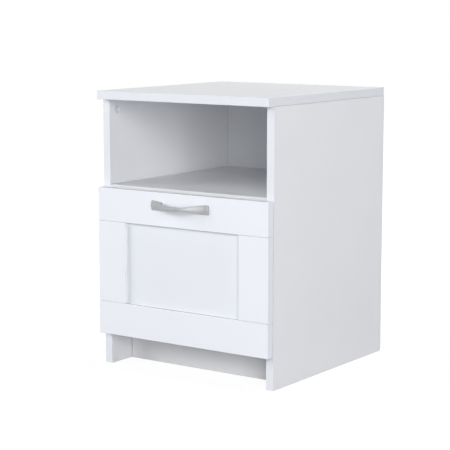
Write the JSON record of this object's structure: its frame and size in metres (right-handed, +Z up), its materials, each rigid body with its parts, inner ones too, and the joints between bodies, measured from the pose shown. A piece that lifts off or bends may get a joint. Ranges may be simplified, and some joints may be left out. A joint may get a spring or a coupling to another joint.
{
  "type": "bedside cabinet",
  "caption": "White laminated bedside cabinet with an open niche over a framed drawer, bow handle, roller runners and a set-back plinth.",
  "frame": {"origin": "on the floor, under the middle of the cabinet's bounding box, handle included", "axes": "+Z up, -Y out of the drawer front, +X to the right as seen from the front"},
  "size_m": [0.391, 0.439, 0.53],
  "materials": {
    "laminate": "white melamine laminate on chipboard, fine matt texture, edge banded",
    "front_foil": "smooth white foil on fibreboard, low sheen",
    "hardboard": "white painted hardboard",
    "enamel": "white baked enamel on folded steel",
    "nylon": "natural nylon",
    "zinc": "zinc die casting and zinc plated steel",
    "steel": "bright steel",
    "satin_metal": "satin grey, softly blasted",
    "beech": "bare fluted beech"
  },
  "bodies": {
    "cabinet": {"top_panel": "laminate", "left_side_panel": "laminate", "right_side_panel": "laminate", "niche_shelf": "laminate", "bottom_panel": "laminate", "plinth_board": "laminate", "back_panel": "hardboard", "top_cam_left_front": "zinc", "top_cam_left_rear": "zinc", "top_cam_right_front": "zinc", "top_cam_right_rear": "zinc", "top_bolt_left_front": "zinc", "top_bolt_left_rear": "zinc", "top_bolt_right_front": "zinc", "top_bolt_right_rear": "zinc", "shelf_cam_left": "zinc", "shelf_cam_right": "zinc", "shelf_bolt_left": "zinc", "shelf_bolt_right": "zinc", "shelf_dowel_left": "beech", "shelf_dowel_right": "beech", "bottom_cam_left": "zinc", "bottom_cam_right": "zinc", "bottom_bolt_left": "zinc", "bottom_bolt_right": "zinc", "bottom_dowel_left": "beech", "bottom_dowel_right": "beech", "plinth_dowel_left": "beech", "plinth_dowel_right": "beech", "cabinet_runner_left": "enamel", "cabinet_runner_right": "enamel", "cabinet_axle_left": "steel", "cabinet_axle_right": "steel"},
    "drawer": {"front_top_rail": "front_foil", "front_bottom_rail": "front_foil", "front_left_stile": "front_foil", "front_right_stile": "front_foil", "front_panel": "front_foil", "handle": "satin_metal", "handle_screw_left": "steel", "handle_screw_right": "steel", "drawer_left_side": "laminate", "drawer_right_side": "laminate", "drawer_back": "laminate", "drawer_bottom": "hardboard", "drawer_cam_left": "zinc", "drawer_cam_right": "zinc", "drawer_bolt_left": "zinc", "drawer_bolt_right": "zinc", "drawer_dowel_left": "beech", "drawer_dowel_right": "beech", "drawer_runner_left": "enamel", "drawer_runner_right": "enamel", "drawer_axle_left": "steel", "drawer_axle_right": "steel"},
    "cabinet_roller_left": {"cabinet_roller_left": "nylon"},
    "cabinet_roller_right": {"cabinet_roller_right": "nylon"},
    "drawer_roller_left": {"drawer_roller_left": "nylon"},
    "drawer_roller_right": {"drawer_roller_right": "nylon"}
  },
  "joints": [
    {"name": "drawer_slide", "type": "slide", "parent": "cabinet", "child": "drawer", "axis": [0, -1, 0], "range_m": [0, 0.26]},
    {"name": "cabinet_roller_left_spin", "type": "hinge", "parent": "cabinet", "child": "cabinet_roller_left", "pos_m": [-0.173, -0.16125, 0.0914], "axis": [1, 0, 0], "range_deg": [0, 1755]},
    {"name": "cabinet_roller_right_spin", "type": "hinge", "parent": "cabinet", "child": "cabinet_roller_right", "pos_m": [0.173, -0.16125, 0.0914], "axis": [1, 0, 0], "range_deg": [0, 1755]},
    {"name": "drawer_roller_left_spin", "type": "hinge", "parent": "drawer", "child": "drawer_roller_left", "pos_m": [-0.173, 0.16075, 0.091], "axis": [1, 0, 0], "range_deg": [0, 1755]},
    {"name": "drawer_roller_right_spin", "type": "hinge", "parent": "drawer", "child": "drawer_roller_right", "pos_m": [0.173, 0.16075, 0.091], "axis": [1, 0, 0], "range_deg": [0, 1755]}
  ],
  "couplings": [
    {"joint": "cabinet_roller_left_spin", "follows": "drawer_slide", "rad_per_m": 117.65},
    {"joint": "cabinet_roller_right_spin", "follows": "drawer_slide", "rad_per_m": 117.65},
    {"joint": "drawer_roller_left_spin", "follows": "drawer_slide", "rad_per_m": 117.65},
    {"joint": "drawer_roller_right_spin", "follows": "drawer_slide", "rad_per_m": 117.65}
  ]
}
